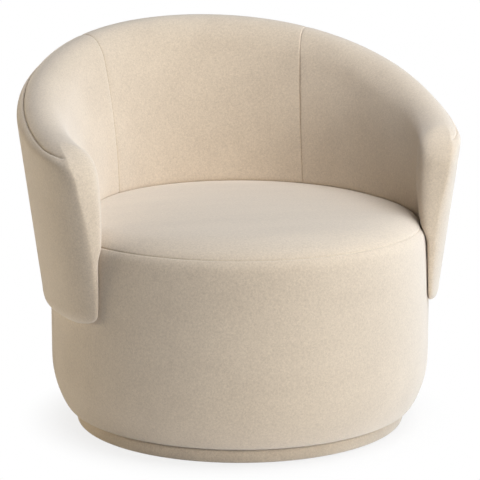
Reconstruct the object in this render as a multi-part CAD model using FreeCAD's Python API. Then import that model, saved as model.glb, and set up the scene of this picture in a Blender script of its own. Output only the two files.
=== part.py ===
# Upholstered swivel tub chair, in millimetres.
# Frame: +Z up, origin on the floor at the swivel axis, front towards -Y, the sitter's left at +X.
# A fabric-wrapped plinth carries a ball-bearing swivel; the drum-shaped seat and the wrap-around
# back turn on it as one. Angles round the back are measured from the middle of the back (+Y),
# positive towards +X; the arms end a little forward of the sides.
import FreeCAD
import Part
import os
from math import asin, atan, cos, degrees, radians, sin, sqrt, tan

Vector = FreeCAD.Vector
AXIS = Vector(0, 0, 1)

# Fabric, clearances and boards
cover_thickness = 2.0
layer_gap = 0.3
back_layer_gap = 0.8
foam_roll_ease = 0.5
cut_margin = 1.0
join_tolerance = 1e-6
board_thickness = 18.0
screw_radius = 2.5

# Plinth
plinth_inset = 45.0
plinth_board_thickness = 19.5
plinth_lip = 20.0
glide_radius = 15.0
glide_height = 3.5
glide_inset = 43.0
glide_count = 6
dust_sheet_thickness = 1.0

# Swivel
swivel_radius = 150.0
swivel_hole_radius = 30.0
plate_thickness = 3.0
race_height = 3.0
race_width = 20.0
race_gap = 3.0
ball_circle = 130.0
ball_radius = 5.0
ball_count = 24
ball_fit = 0.05
cage_thickness = 1.6
cage_width = 16.0
cage_pocket_gap = 0.3
pivot_radius = 8.0
pivot_head_radius = 13.0
pivot_head = 3.0
pivot_fit = 0.05
plate_screw_circle = 75.0
plate_screw_count = 6
plate_screw_head = 2.6
plate_screw_head_radius = 5.0
plate_screw_length = 14.0
upper_screw_angle = 30.0

# Drum and seat
swivel_slot = 4.0
drum_radius = 350.0
drum_draw_in = 30.0
drum_belly_height = 100.0
drum_taper_height = 124.0
drum_cover_lip = 12.0
seat_seam_height = 374.0
seat_seam_inset = 8.0
seat_shoulder_rise = 16.0
seat_shoulder_width = 67.0
seat_crown_rise = 17.0
drum_padding = 12.0
drum_board = 4.0
drum_board_drop = 29.0
former_count = 8
former_depth = 45.0
former_thickness = 15.0
seat_ring_drop = 122.0
seat_ring_inset = 88.0
bolt_head_room = 9.0

# Seat suspension
spring_count = 5
spring_spacing = 80.0
spring_wire = 4.0
spring_pitch = 24.0
spring_width = 44.0
spring_seat_inset = 62.0
clip_wall = 1.5
clip_length = 16.0
clip_width = 24.0
felt_thickness = 4.0

# Wrap-around back
shell_base_inset = 0.6
shell_base_drop = 224.0
shell_flare_ratio = 0.131
arm_spread = 5.0
shell_skirt = 145.0
shell_edge_height = 30.0
shell_edge_land = 3.4
shell_edge_out_ratio = 0.72
shell_edge_up_ratio = 0.36
shell_drum_gap = 1.0
back_rise = 338.6
side_rise = 212.0
arm_rise = 167.0
rim_fullness = 26.0
roll_back = 71.6
roll_arm = 30.0
roll_back_width = 92.0
roll_arm_width = 70.0
roll_join_angle = 45.0
back_inside_inset = 84.0
arm_inside_inset = 16.0
inside_bulge_ratio = 0.03
seat_gap = 0.5
tuck_round = 10.0
tuck_length = 8.0
back_seam_angle = 41.0
arm_end_angle = 113.0
arm_nose_angle = 118.2
arm_turn_angle = 36.0
arm_lean_angle = 6.0
turn_start_angle = 66.0
turn_ease_power = 1.5
nose_round_ratio = 0.55
nose_tip_ratio = 1.5
nose_ratios = (0.0, 0.5, 0.85, 1.0)
outside_padding = 4.0
shell_board = 7.0
shell_board_rise = 41.0
top_rail_depth = 18.0
top_rail_height = 38.0
mount_rail_rise = 69.0
mount_rail_width = 44.0
shell_bolt_radius = 4.0
shell_bolt_clearance = 1.0
shell_bolt_head_radius = 8.0
shell_bolt_head = 5.0
shell_bolt_short = 1.0
shell_bolt_angles = (-96.0, -66.0, -33.0, 0.0, 33.0, 66.0, 96.0)
tee_nut_radius = 10.0
tee_nut_flange = 1.5
back_station_count = 7
arm_station_count = 13
sector_corner_count = 6
sector_end_angle = 160.0

# Sizes that follow from the sizes above
plinth_radius = drum_radius - plinth_inset
glide_circle = plinth_radius - glide_inset
drum_bottom_radius = drum_radius - drum_draw_in
drum_taper_start = seat_seam_height - drum_taper_height
seat_seam_radius = drum_radius - seat_seam_inset
seat_shoulder_height = seat_seam_height + seat_shoulder_rise
seat_shoulder_radius = seat_seam_radius - seat_shoulder_width
seat_crown_height = seat_shoulder_height + seat_crown_rise
drum_board_top = seat_seam_height - drum_board_drop
seat_ring_height = seat_seam_height - seat_ring_drop
seat_ring_inner = drum_radius - seat_ring_inset
spring_seat_circle = drum_radius - spring_seat_inset
shell_base_radius = drum_radius - shell_base_inset
shell_base_height = seat_seam_height - shell_base_drop
shell_bottom = seat_seam_height - shell_skirt
back_height = seat_seam_height + back_rise
side_height = seat_seam_height + side_rise
arm_height = seat_seam_height + arm_rise
back_inside_radius = drum_radius - back_inside_inset
arm_inside_radius = drum_radius - arm_inside_inset
shell_board_bottom = shell_bottom + shell_board_rise
mount_rail_bottom = shell_bottom + mount_rail_rise
mount_rail_top = mount_rail_bottom + mount_rail_width
shell_bolt_height = mount_rail_bottom + mount_rail_width / 2

# Heights of the plinth, the swivel and the seat's layers
plinth_board_bottom = glide_height
plinth_board_top = plinth_board_bottom + plinth_board_thickness
plinth_top = plinth_board_top + cover_thickness
lower_race_top = plinth_board_top + plate_thickness + race_height
upper_race_bottom = lower_race_top + race_gap
upper_plate_bottom = upper_race_bottom + race_height
upper_plate_top = upper_plate_bottom + plate_thickness
ball_height = lower_race_top + race_gap / 2
drum_bottom = plinth_top + swivel_slot
base_board_bottom = upper_plate_top
base_board_top = base_board_bottom + board_thickness
seat_ring_top = seat_ring_height + board_thickness
clip_top = seat_ring_top + spring_wire + clip_wall + layer_gap
felt_top = clip_top + felt_thickness + layer_gap
seat_foam_bottom = felt_top + layer_gap

# Radial layers of the drum, as distances in from its outside
drum_foam_out = cover_thickness + layer_gap
drum_foam_in = drum_foam_out + drum_padding
drum_board_out = drum_foam_in + layer_gap
drum_board_in = drum_board_out + drum_board
drum_frame_out = drum_board_in + layer_gap

# Layers of the back, as distances in from its outside
shell_foam_out = cover_thickness + back_layer_gap
shell_pad_in = shell_foam_out + outside_padding
shell_board_out = shell_pad_in + back_layer_gap
tee_nut_out = shell_pad_in - tee_nut_flange
shell_board_in = shell_board_out + shell_board
shell_frame_out = shell_board_in + back_layer_gap
shell_inner_wall = drum_radius + shell_drum_gap
bolt_hole_start = drum_radius - drum_frame_out - seat_seam_inset - cut_margin


def save(shape, name):
    shape.exportStep("parts/" + name + ".step")


def turned(radius, angle, height):
    # a point at an angle round the axis from the middle of the back
    return Vector(radius * sin(radians(angle)), radius * cos(radians(angle)), height)


def flat(radius, height):
    return Vector(radius, 0, height)


def line(start, end):
    return Part.LineSegment(start, end).toShape()


def arc(start, middle, end):
    return Part.Arc(start, middle, end).toShape()


def revolved(edges):
    wire = Part.Wire(Part.__sortEdges__(edges))
    return Part.Face(wire).revolve(Vector(0, 0, 0), AXIS, 360)


def disc(radius, bottom, top):
    return Part.makeCylinder(radius, top - bottom, Vector(0, 0, bottom))


def ring(inner, outer, bottom, top):
    return disc(outer, bottom, top).cut(disc(inner, bottom - cut_margin, top + cut_margin))


def round_the_axis(count, start=0.0):
    return [start + 360.0 * i / count for i in range(count)]


def upright(radius, circle, angle, bottom, top):
    return Part.makeCylinder(radius, top - bottom, turned(circle, angle, bottom))


def spoke(radius, angle, inner, outer, height):
    # a cylinder that points away from the axis
    return Part.makeCylinder(radius, outer - inner, turned(inner, angle, height), turned(1, angle, 0))


# Outside of the drum: a belly that draws in to the bottom, a straight wall, a slight taper to the seam
belly_top = drum_bottom + drum_belly_height
belly_inset = drum_radius - drum_bottom_radius
belly_arc = (drum_belly_height ** 2 + belly_inset ** 2) / (2 * belly_inset)
taper_height = seat_seam_height - drum_taper_start
taper_inset = drum_radius - seat_seam_radius
taper_arc = (taper_height ** 2 + taper_inset ** 2) / (2 * taper_inset)


def drum_outside(height):
    if height < belly_top:
        return drum_radius - belly_arc + sqrt(belly_arc ** 2 - (belly_top - height) ** 2)
    if height > drum_taper_start:
        return drum_radius - taper_arc + sqrt(taper_arc ** 2 - (height - drum_taper_start) ** 2)
    return drum_radius


def drum_side(inset, low, high):
    # edges of the drum's side from low to high, moved in by an inset
    breaks = [low] + [z for z in (belly_top, drum_taper_start) if low < z < high] + [high]
    edges = []
    for start, end in zip(breaks, breaks[1:]):
        points = [flat(drum_outside(z) - inset, z) for z in (start, (start + end) / 2, end)]
        if start >= belly_top and end <= drum_taper_start:
            edges.append(line(points[0], points[2]))
        else:
            edges.append(arc(*points))
    return edges


# Top of the seat: a broad crown, then a rounder shoulder that falls to the seam
crown_drop = seat_crown_height - seat_shoulder_height
crown_arc = (seat_shoulder_radius ** 2 + crown_drop ** 2) / (2 * crown_drop)
crown_slope = asin(seat_shoulder_radius / crown_arc)
shoulder_run = seat_seam_radius - seat_shoulder_radius
shoulder_drop = seat_shoulder_height - seat_seam_height
shoulder_arc = (shoulder_run ** 2 + shoulder_drop ** 2) / (
    2 * (shoulder_drop * cos(crown_slope) - shoulder_run * sin(crown_slope)))


def seat_top(radius):
    if radius <= seat_shoulder_radius:
        return seat_crown_height - crown_arc + sqrt(crown_arc ** 2 - radius ** 2)
    out = radius - seat_shoulder_radius + shoulder_arc * sin(crown_slope)
    return seat_shoulder_height - shoulder_arc * cos(crown_slope) + sqrt(shoulder_arc ** 2 - out ** 2)


def seat_crown(drop, rim):
    # edges of the seat's top from the axis to a rim radius, lowered by a drop
    edges = []
    for start, end in ((0, seat_shoulder_radius), (seat_shoulder_radius, rim)):
        edges.append(arc(*[flat(r, seat_top(r) - drop) for r in (start, (start + end) / 2, end)]))
    return edges


# Plinth
def plinth():
    board = disc(plinth_radius - cover_thickness - layer_gap, plinth_board_bottom, plinth_board_top)
    well_bottom = plinth_board_top - pivot_head - layer_gap
    board = board.cut(disc(pivot_head_radius + layer_gap, well_bottom, plinth_top))
    hole_bottom = plinth_board_top + plate_thickness - plate_screw_length
    for angle in round_the_axis(plate_screw_count):
        board = board.cut(upright(screw_radius, plate_screw_circle, angle, hole_bottom, plinth_top))
    save(board, "plinth_board")

    outside = disc(plinth_radius, plinth_board_bottom - cover_thickness, plinth_top)
    inside = disc(plinth_radius - cover_thickness, plinth_board_bottom, plinth_board_top)
    opening = disc(plinth_radius - plinth_lip, 0, plinth_top + cut_margin)
    save(outside.cut(inside).cut(opening), "plinth_cover")

    sheet_top = plinth_board_bottom
    sheet = disc(plinth_radius - plinth_lip - layer_gap, sheet_top - dust_sheet_thickness, sheet_top)
    places = [turned(glide_circle, a, 0) for a in round_the_axis(glide_count)] + [Vector(0, 0, 0)]
    glides = []
    for place in places:
        hole = Part.makeCylinder(glide_radius + layer_gap, glide_height, place)
        sheet = sheet.cut(hole)
        glides.append(Part.makeCylinder(glide_radius, glide_height, place))
    save(sheet, "plinth_dust_sheet")
    save(glides[-1], "centre_glide")
    save(Part.makeCompound(glides[:-1]), "rim_glides")


# Ball-bearing swivel: two pressed plates with races, a cage of balls and a centre pivot
def swivel_plate(disc_bottom, race_bottom, hole):
    plate = ring(hole, swivel_radius, disc_bottom, disc_bottom + plate_thickness)
    half = race_width / 2
    race = ring(ball_circle - half, ball_circle + half, race_bottom, race_bottom + race_height)
    groove = Part.makeTorus(ball_circle, ball_radius + ball_fit, Vector(0, 0, ball_height), AXIS)
    plate = plate.fuse(race).removeSplitter().cut(groove)
    return plate


def plate_screws(head_bottom, shank_bottom, first_angle):
    screws = []
    for angle in round_the_axis(plate_screw_count, first_angle):
        head = upright(plate_screw_head_radius, plate_screw_circle, angle,
                       head_bottom, head_bottom + plate_screw_head)
        shank_top = shank_bottom + plate_screw_length
        shank = upright(screw_radius, plate_screw_circle, angle, shank_bottom, shank_top)
        screws.append(head.fuse(shank).removeSplitter())
    return Part.makeCompound(screws)


def screw_holes(plate, first_angle):
    for angle in round_the_axis(plate_screw_count, first_angle):
        plate = plate.cut(upright(screw_radius, plate_screw_circle, angle, 0, base_board_top))
    return plate


def swivel():
    lower = swivel_plate(plinth_board_top, plinth_board_top + plate_thickness, pivot_radius)
    save(screw_holes(lower, 0), "swivel_lower_plate")
    upper = swivel_plate(upper_plate_bottom, upper_race_bottom, pivot_radius + pivot_fit)
    save(screw_holes(upper, upper_screw_angle), "swivel_upper_plate")

    shank_bottom = plinth_board_top + plate_thickness - plate_screw_length
    save(plate_screws(plinth_board_top + plate_thickness, shank_bottom, 0), "lower_plate_screws")
    upper = plate_screws(upper_plate_bottom - plate_screw_head, upper_plate_bottom, upper_screw_angle)
    save(upper, "upper_plate_screws")

    pivot = disc(pivot_radius, plinth_board_top, upper_plate_top + layer_gap)
    pivot = pivot.fuse(disc(pivot_head_radius, plinth_board_top - pivot_head, plinth_board_top))
    head_bottom = upper_plate_top + layer_gap
    pivot = pivot.fuse(disc(pivot_head_radius, head_bottom, head_bottom + pivot_head))
    save(pivot.removeSplitter(), "swivel_pivot")

    cage_bottom = ball_height - cage_thickness / 2
    half = cage_width / 2
    cage = ring(ball_circle - half, ball_circle + half, cage_bottom, cage_bottom + cage_thickness)
    balls = []
    for angle in round_the_axis(ball_count):
        cage = cage.cut(upright(ball_radius + cage_pocket_gap, ball_circle, angle, 0, base_board_top))
        balls.append(Part.makeSphere(ball_radius, turned(ball_circle, angle, ball_height)))
    save(cage, "ball_cage")
    save(Part.makeCompound(balls), "bearing_balls")


# Drum frame: base board, curved formers, seat ring and bent wrap board
def without_shell_bolts(shape, radius, inner, outer):
    for angle in shell_bolt_angles:
        shape = shape.cut(spoke(radius, angle, inner, outer, shell_bolt_height))
    return shape


def drum_frame():
    board = disc(drum_outside(base_board_bottom) - drum_frame_out, base_board_bottom, base_board_top)
    well = pivot_head_radius + 2 * layer_gap
    well_top = upper_plate_top + pivot_head + 2 * layer_gap
    board = board.cut(disc(well, base_board_bottom - cut_margin, well_top))
    hole_top = base_board_bottom + plate_screw_length - plate_thickness
    for angle in round_the_axis(plate_screw_count, upper_screw_angle):
        board = board.cut(upright(screw_radius, plate_screw_circle, angle, base_board_bottom, hole_top))
    save(board, "drum_base_board")

    for number, angle in enumerate(round_the_axis(former_count, 180.0 / former_count), 1):
        low, high = base_board_top, seat_ring_height
        inner = drum_outside(base_board_top) - drum_frame_out - former_depth
        edges = drum_side(drum_frame_out, low, high)
        foot = flat(drum_outside(low) - drum_frame_out, low)
        head = flat(drum_outside(high) - drum_frame_out, high)
        corners = [head, flat(inner, high), flat(inner, low), foot]
        edges += [line(*pair) for pair in zip(corners, corners[1:])]
        former = Part.Face(Part.Wire(Part.__sortEdges__(edges))).extrude(Vector(0, former_thickness, 0))
        former.translate(Vector(0, -former_thickness / 2, 0))
        former.rotate(Vector(0, 0, 0), AXIS, 90 - angle)
        save(former, "drum_former_%d" % number)

    seat_ring_outer = drum_outside(seat_ring_top) - drum_frame_out
    save(ring(seat_ring_inner, seat_ring_outer, seat_ring_height, seat_ring_top), "seat_ring")
    save(without_shell_bolts(drum_layer(drum_board_out, drum_board_in, base_board_bottom, drum_board_top),
                             shell_bolt_radius, bolt_hole_start, drum_radius), "drum_wrap_board")


def drum_layer(outer_inset, inner_inset, low, high):
    edges = drum_side(outer_inset, low, high) + drum_side(inner_inset, low, high)
    for z in (low, high):
        edges.append(line(flat(drum_outside(z) - outer_inset, z), flat(drum_outside(z) - inner_inset, z)))
    return revolved(edges)


def drum_covering():
    low = drum_bottom + cover_thickness + layer_gap
    foam = drum_layer(drum_foam_out, drum_foam_in, low, drum_board_top)
    foam = without_shell_bolts(foam, shell_bolt_radius, bolt_hole_start, drum_radius)
    save(foam, "drum_side_foam")

    high = seat_seam_height - cover_thickness - layer_gap
    inside_low = drum_bottom + cover_thickness
    lip_radius = drum_bottom_radius - drum_cover_lip
    edges = drum_side(0, drum_bottom, high) + drum_side(cover_thickness, inside_low, high)
    edges += [
        line(flat(drum_outside(high), high), flat(drum_outside(high) - cover_thickness, high)),
        line(flat(drum_bottom_radius, drum_bottom), flat(lip_radius, drum_bottom)),
        line(flat(lip_radius, drum_bottom), flat(lip_radius, inside_low)),
        line(flat(lip_radius, inside_low), flat(drum_outside(inside_low) - cover_thickness, inside_low)),
    ]
    cover = without_shell_bolts(revolved(edges), shell_bolt_radius, bolt_hole_start, drum_radius + cut_margin)
    save(cover, "drum_side_cover")


# Seat: springs with clips, felt, crowned foam and the fabric top
def seat_spring(x):
    half = sqrt(spring_seat_circle ** 2 - x ** 2)
    bars = 2 * int(half / spring_pitch) + 1
    step = 2 * half / (bars - 1)
    bend = step / 2
    reach = spring_width / 2 - bend
    height = seat_ring_top + spring_wire / 2
    edges = []
    for i in range(bars):
        y = -half + i * step
        side = 1 if i % 2 == 0 else -1
        start, end = Vector(x - side * reach, y, height), Vector(x + side * reach, y, height)
        edges.append(line(start, end))
        if i < bars - 1:
            for quarter in (0, 1):
                turn = [radians(-90 + 90 * quarter + part * 45) for part in (0, 1, 2)]
                points = [end + Vector(side * bend * cos(t), bend + bend * sin(t), 0) for t in turn]
                edges.append(arc(*points))
    path = Part.Wire(edges)
    first = Vector(x - reach, -half, height)
    section = Part.Wire(Part.makeCircle(spring_wire / 2, first, Vector(1, 0, 0)))
    return path.makePipeShell([section], True, False)


def seat_suspension():
    clips = []
    for number in range(spring_count):
        x = (number - (spring_count - 1) / 2) * spring_spacing
        save(seat_spring(x), "seat_spring_%d" % (number + 1))
        half = sqrt(spring_seat_circle ** 2 - x ** 2)
        for end in (-1, 1):
            corner = Vector(x - clip_width / 2, end * half - clip_length / 2, seat_ring_top)
            clip = Part.makeBox(clip_width, clip_length, clip_top - seat_ring_top, corner)
            slot = spring_wire + 2 * layer_gap
            channel = Part.makeBox(spring_width * 2, slot, spring_wire + layer_gap,
                                   Vector(x - spring_width, end * half - slot / 2, seat_ring_top))
            clips.append(clip.cut(channel))
    save(Part.makeCompound(clips), "spring_clips")
    felt_radius = drum_radius - drum_frame_out - bolt_head_room
    save(disc(felt_radius, clip_top + layer_gap, felt_top), "spring_felt")


def seat_cushion():
    low, step = seat_foam_bottom, drum_board_top + layer_gap
    inner = drum_radius - drum_frame_out - bolt_head_room
    rim = seat_seam_radius - drum_foam_out
    rim_height = seat_top(rim) - drum_foam_out
    last = flat(drum_outside(step) - drum_foam_out, step)
    middle = (step + rim_height) / 2
    edges = seat_crown(drum_foam_out, rim)
    edges.append(arc(last, flat(drum_outside(middle) - drum_foam_out, middle), flat(rim, rim_height)))
    edges += [
        line(last, flat(inner, step)),
        line(flat(inner, step), flat(inner, low)),
        line(flat(inner, low), flat(0, low)),
        line(flat(0, low), flat(0, seat_crown_height - drum_foam_out)),
    ]
    save(revolved(edges), "seat_foam")

    edges = seat_crown(0, seat_seam_radius) + seat_crown(cover_thickness, seat_seam_radius)
    for radius in (0, seat_seam_radius):
        edges.append(line(flat(radius, seat_top(radius)), flat(radius, seat_top(radius) - cover_thickness)))
    save(revolved(edges), "seat_top_cover")


# Wrap-around back, drawn as upright sections at stations round the axis
def arm_share(angle):
    # 0 at the middle of the back, 1 at the end of an arm
    return (1 - cos(radians(angle))) / (1 - cos(radians(arm_end_angle)))


def rim_height(angle):
    # height of the top of the roll: three set heights and a little extra fullness between them
    c, front = cos(radians(angle)), cos(radians(arm_end_angle))
    rise, fall = back_height - side_height, arm_height - side_height
    bend = (fall - rise * front) / (front * (front - 1))
    return side_height + (rise - bend) * c + bend * c * c + rim_fullness * c * (1 - c) * (c - front)


def between(back, arm, angle, power):
    return back + (arm - back) * arm_share(angle) ** power


def shell_outside(height, angle):
    flare = shell_flare_ratio * (height - shell_base_height)
    return shell_base_radius + flare + between(0, arm_spread, angle, 2)


def polar(centre, radius, angle):
    return (centre[0] + radius * cos(angle), centre[1] + radius * sin(angle))


class Section:
    # one upright section of the back: outside wall, three tangent arcs of the roll, bulging inside wall
    def __init__(self, angle):
        self.angle = angle
        self.top = rim_height(angle)
        height = between(roll_back, roll_arm, angle, 2)
        width = between(roll_back_width, roll_arm_width, angle, 2)
        self.spring = self.top - height
        self.seat = between(back_inside_radius, arm_inside_radius, angle, 4)
        self.under = seat_top(min(self.seat, seat_seam_radius)) + seat_gap
        outside = shell_outside(self.spring, angle)
        self.run, self.reach = self.spring - self.under, outside - width - self.seat
        self.chord = atan(self.reach / self.run)
        self.lean_out, self.lean_in = atan(shell_flare_ratio), self.chord + 4 * inside_bulge_ratio
        join = radians(roll_join_angle)
        cap = 1 - sin(join)
        out_share, in_share = sin(join) + sin(self.lean_out), sin(join) - sin(self.lean_in)
        out_reach, in_reach = cos(self.lean_out) - cos(join), cos(self.lean_in) - cos(join)
        side = out_reach / out_share + in_reach / in_share
        self.top_arc = (width - height * side) / (2 * cos(join) - cap * side)
        self.out_arc = (height - cap * self.top_arc) / out_share
        self.in_arc = (height - cap * self.top_arc) / in_share
        middle = outside - self.top_arc * cos(join) - self.out_arc * out_reach
        self.top_centre = (middle, self.top - self.top_arc)
        self.out_centre = polar(self.top_centre, self.top_arc - self.out_arc, join)
        self.in_centre = polar(self.top_centre, self.top_arc - self.in_arc, radians(180) - join)

    def outer_wall(self, height, inset):
        return (shell_outside(height, self.angle) - inset / cos(self.lean_out), height)

    def inner_wall(self, share, inset):
        # from the seat (share 0) to the roll (share 1), bulging towards the sitter
        bulge = 4 * inside_bulge_ratio * share * (1 - share) * self.run / cos(self.chord) - inset
        return (self.seat + share * self.reach - bulge * cos(self.chord),
                self.under + share * self.run + bulge * sin(self.chord))

    def out_roll(self, inset, stop_short=0.0):
        # a roll that stops short leaves a gap to the inside cover
        end = radians(roll_join_angle) - stop_short / self.out_arc
        spots = (-self.lean_out, (end - self.lean_out) / 2, end)
        return [polar(self.out_centre, self.out_arc - inset, a) for a in spots]

    def top_roll(self, inset):
        join = radians(roll_join_angle)
        spots = (join, radians(90), radians(180) - join)
        return [polar(self.top_centre, self.top_arc - inset, a) for a in spots]

    def in_roll(self, inset):
        join, half_turn = radians(roll_join_angle), radians(180)
        spots = (half_turn - join, half_turn - (join + self.lean_in) / 2, half_turn - self.lean_in)
        return [polar(self.in_centre, self.in_arc - inset, a) for a in spots]

    def edge(self, inset):
        # lower outside edge: from the flat land up to the outside wall
        low, high = shell_bottom + inset, shell_bottom + shell_edge_height
        wall, full = self.outer_wall(high, inset), self.outer_wall(high, 0)
        drawn_in = (wall[0] - shell_inner_wall) / (full[0] - shell_inner_wall)
        land = shell_inner_wall + shell_edge_land * drawn_in
        middle = (land + shell_edge_out_ratio * (wall[0] - land), low + shell_edge_up_ratio * (high - low))
        return [(land, low), middle, wall]

    def tuck(self, inset):
        # the inside wall turns under where it meets the seat
        low = self.under + inset
        start = self.inner_wall((inset + tuck_round) / self.run, inset)
        bend = tuck_round * (1 - sqrt(0.5))
        return [start, (start[0] + bend, low + bend), (start[0] + tuck_round, low)]

    def wall_and_tuck(self, inset):
        tuck = self.tuck(inset)
        return [[self.in_roll(inset)[2], self.inner_wall(0.5, inset), tuck[0]], tuck]


def turn_share(angle):
    # 0 where the section planes start to turn to the front, 1 at the end of an arm
    past = max(0.0, min(abs(angle), arm_end_angle) - turn_start_angle)
    return (past / (arm_end_angle - turn_start_angle)) ** turn_ease_power


def placed(angle, spot):
    # a section point set on its plane, which near the arms' ends turns to the front and leans back
    radius, height = spot
    side = -1 if angle < 0 else 1
    size, share = radians(abs(angle)), turn_share(angle)
    turn = radians(arm_turn_angle) * share
    lean = share * tan(radians(arm_lean_angle)) * (seat_seam_height - height)
    reach = (radius - drum_radius) / cos(turn) - lean * tan(turn)
    heading = size - turn
    x = drum_radius * sin(size) + reach * sin(heading) + lean * cos(heading)
    y = drum_radius * cos(size) + reach * cos(heading) - lean * sin(heading)
    return Vector(side * x, y, height)


def outline(angle, pieces):
    # a closed wire through straight runs (2 points) and arcs (3 points)
    edges = []
    spots = [[placed(angle, spot) for spot in piece] for piece in pieces]
    for piece, following in zip(spots, spots[1:] + spots[:1]):
        if len(piece) == 3:
            edges.append(arc(*piece))
        elif len(piece) == 2:
            edges.append(line(*piece))
        if piece[-1].distanceToPoint(following[0]) > join_tolerance:
            edges.append(line(piece[-1], following[0]))
    return Part.Wire(edges)


def backwards(pieces):
    return [piece[::-1] for piece in reversed(pieces)]


def outside_skin(angle):
    s = Section(angle)
    layers = []
    for inset in (0, cover_thickness):
        roll = s.out_roll(inset, back_layer_gap)
        layers.append([[(shell_inner_wall, shell_bottom + inset)], s.edge(inset), roll])
    return outline(angle, layers[0] + backwards(layers[1]))


def inside_skin(angle):
    s = Section(angle)
    layers = []
    for inset in (0, cover_thickness):
        end = s.tuck(inset)[2]
        under = [[(end[0] + tuck_length, end[1])]]
        layers.append([s.top_roll(inset), s.in_roll(inset)] + s.wall_and_tuck(inset) + under)
    return outline(angle, layers[0] + backwards(layers[1]))


def inside_foam(angle):
    s = Section(angle)
    inset = shell_foam_out
    rail_in = shell_frame_out + top_rail_depth + back_layer_gap
    rail_low, rail_high = s.spring - top_rail_height - back_layer_gap, s.spring + back_layer_gap
    low = s.under + inset
    # over the roll the foam keeps a little further from the cover
    half_eased, top = inset + foam_roll_ease / 2, s.top_roll(inset + foam_roll_ease)
    pieces = [
        [s.outer_wall(low, shell_frame_out), s.outer_wall(rail_low, shell_frame_out)],
        [s.outer_wall(rail_low, rail_in), s.outer_wall(rail_high, rail_in)],
        [s.outer_wall(rail_high, inset), s.out_roll(half_eased)[1], top[0]],
        top,
        [top[2], s.in_roll(half_eased)[1], s.in_roll(inset)[2]],
    ]
    return outline(angle, pieces + s.wall_and_tuck(inset))


def outside_pad(angle):
    s = Section(angle)
    inset = shell_foam_out
    foot = shell_board_bottom - back_layer_gap
    return outline(angle, [
        [(shell_inner_wall, shell_bottom + inset)], s.edge(inset),
        [s.outer_wall(s.spring, inset)],
        [s.outer_wall(s.spring, shell_pad_in), s.outer_wall(foot, shell_pad_in)],
        [(shell_inner_wall, foot)],
    ])


def board_strip(angle):
    s = Section(angle)
    return outline(angle, [
        [s.outer_wall(shell_board_bottom, shell_board_out), s.outer_wall(s.spring, shell_board_out)],
        [s.outer_wall(s.spring, shell_board_in), s.outer_wall(shell_board_bottom, shell_board_in)],
    ])


def top_rail_strip(angle):
    s = Section(angle)
    low, inner = s.spring - top_rail_height, shell_frame_out + top_rail_depth
    return outline(angle, [
        [s.outer_wall(low, shell_frame_out), s.outer_wall(s.spring, shell_frame_out)],
        [s.outer_wall(s.spring, inner), s.outer_wall(low, inner)],
    ])


def mount_rail_strip(angle):
    s = Section(angle)
    return outline(angle, [
        [s.outer_wall(mount_rail_bottom, shell_frame_out), s.outer_wall(mount_rail_top, shell_frame_out)],
        [(shell_inner_wall, mount_rail_top), (shell_inner_wall, mount_rail_bottom)],
    ])


def nose_outline(angle, inset):
    # the arm's front: the whole section, drawn in by an inset that grows towards the front
    s = Section(arm_end_angle)
    wall, tuck = s.wall_and_tuck(inset)
    start, low = tuck[0], tuck[2][1]
    bend = 1 - sqrt(0.5)
    middle = (start[0] + bend * (shell_inner_wall - start[0]), low + bend * (start[1] - low))
    return outline(angle, [
        [(shell_inner_wall, shell_bottom + nose_tip_ratio * inset)], s.edge(inset),
        s.out_roll(inset), s.top_roll(inset), s.in_roll(inset), wall,
        [start, middle, (shell_inner_wall, low)],
    ])


def stations(first, last, count):
    return [first + (last - first) * i / (count - 1) for i in range(count)]


def lofted(section, angles):
    return Part.makeLoft([section(angle) for angle in angles], True, False, False, 3)


back_stations = stations(-back_seam_angle, back_seam_angle, back_station_count)
left_stations = stations(back_seam_angle, arm_end_angle, arm_station_count)
right_stations = [-angle for angle in reversed(left_stations)]
all_stations = right_stations[:-1] + back_stations + left_stations[1:]
panels = {
    "back": (-back_seam_angle, back_seam_angle),
    "left_arm": (back_seam_angle, sector_end_angle),
    "right_arm": (-sector_end_angle, -back_seam_angle),
}


def sector(first, last):
    # everything between two angles round the axis, up to above the back
    reach = 2 * shell_outside(back_height, arm_end_angle)
    angles = stations(first, last, sector_corner_count)
    corners = [Vector(0, 0, 0)] + [turned(reach, angle, 0) for angle in angles]
    floor = Part.Face(Part.makePolygon(corners + corners[:1]))
    return floor.extrude(Vector(0, 0, back_height + cut_margin))


def wall_disc(angle, radius, start, end):
    # a disc lying on the outside wall at a bolt, between two distances in from the outside
    tilt = atan(shell_flare_ratio)
    outward = turned(cos(tilt), angle, -sin(tilt))
    centre = turned(shell_outside(shell_bolt_height, angle), angle, shell_bolt_height) - outward * start
    return Part.makeCylinder(radius, start - end, centre, outward)


def wrap_around_back():
    reach = shell_outside(shell_bolt_height, arm_end_angle)
    for name, strip in (("back_shell_board", board_strip), ("back_mount_rail", mount_rail_strip)):
        save(without_shell_bolts(lofted(strip, all_stations), shell_bolt_radius, drum_radius, reach), name)
    pad = lofted(outside_pad, all_stations)
    pad = without_shell_bolts(pad, shell_bolt_radius, drum_radius, reach - shell_board_out)
    low, high = shell_board_out + layer_gap, tee_nut_out - layer_gap
    for angle in shell_bolt_angles:
        pad = pad.cut(wall_disc(angle, tee_nut_radius + layer_gap, low, high))
    save(pad, "outside_padding")
    save(lofted(outside_skin, all_stations), "outside_cover")
    strips = {"top_rail_": top_rail_strip, "inside_foam_": inside_foam, "inside_cover_": inside_skin}
    for kind, strip in strips.items():
        whole = lofted(strip, all_stations)
        for name, angles in panels.items():
            save(whole.common(sector(*angles)), kind + name)
    start = arm_end_angle + degrees(layer_gap / drum_radius) / cos(radians(arm_turn_angle))
    rounding = nose_round_ratio * Section(arm_end_angle).out_arc
    for name, side in (("left", 1), ("right", -1)):
        wires = []
        for share in nose_ratios:
            angle = side * (start + (arm_nose_angle - start) * share)
            wires.append(nose_outline(angle, rounding * (1 - sqrt(1 - share * share))))
        save(Part.makeLoft(wires, True, False, False, 3), "arm_front_pad_" + name)


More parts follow.
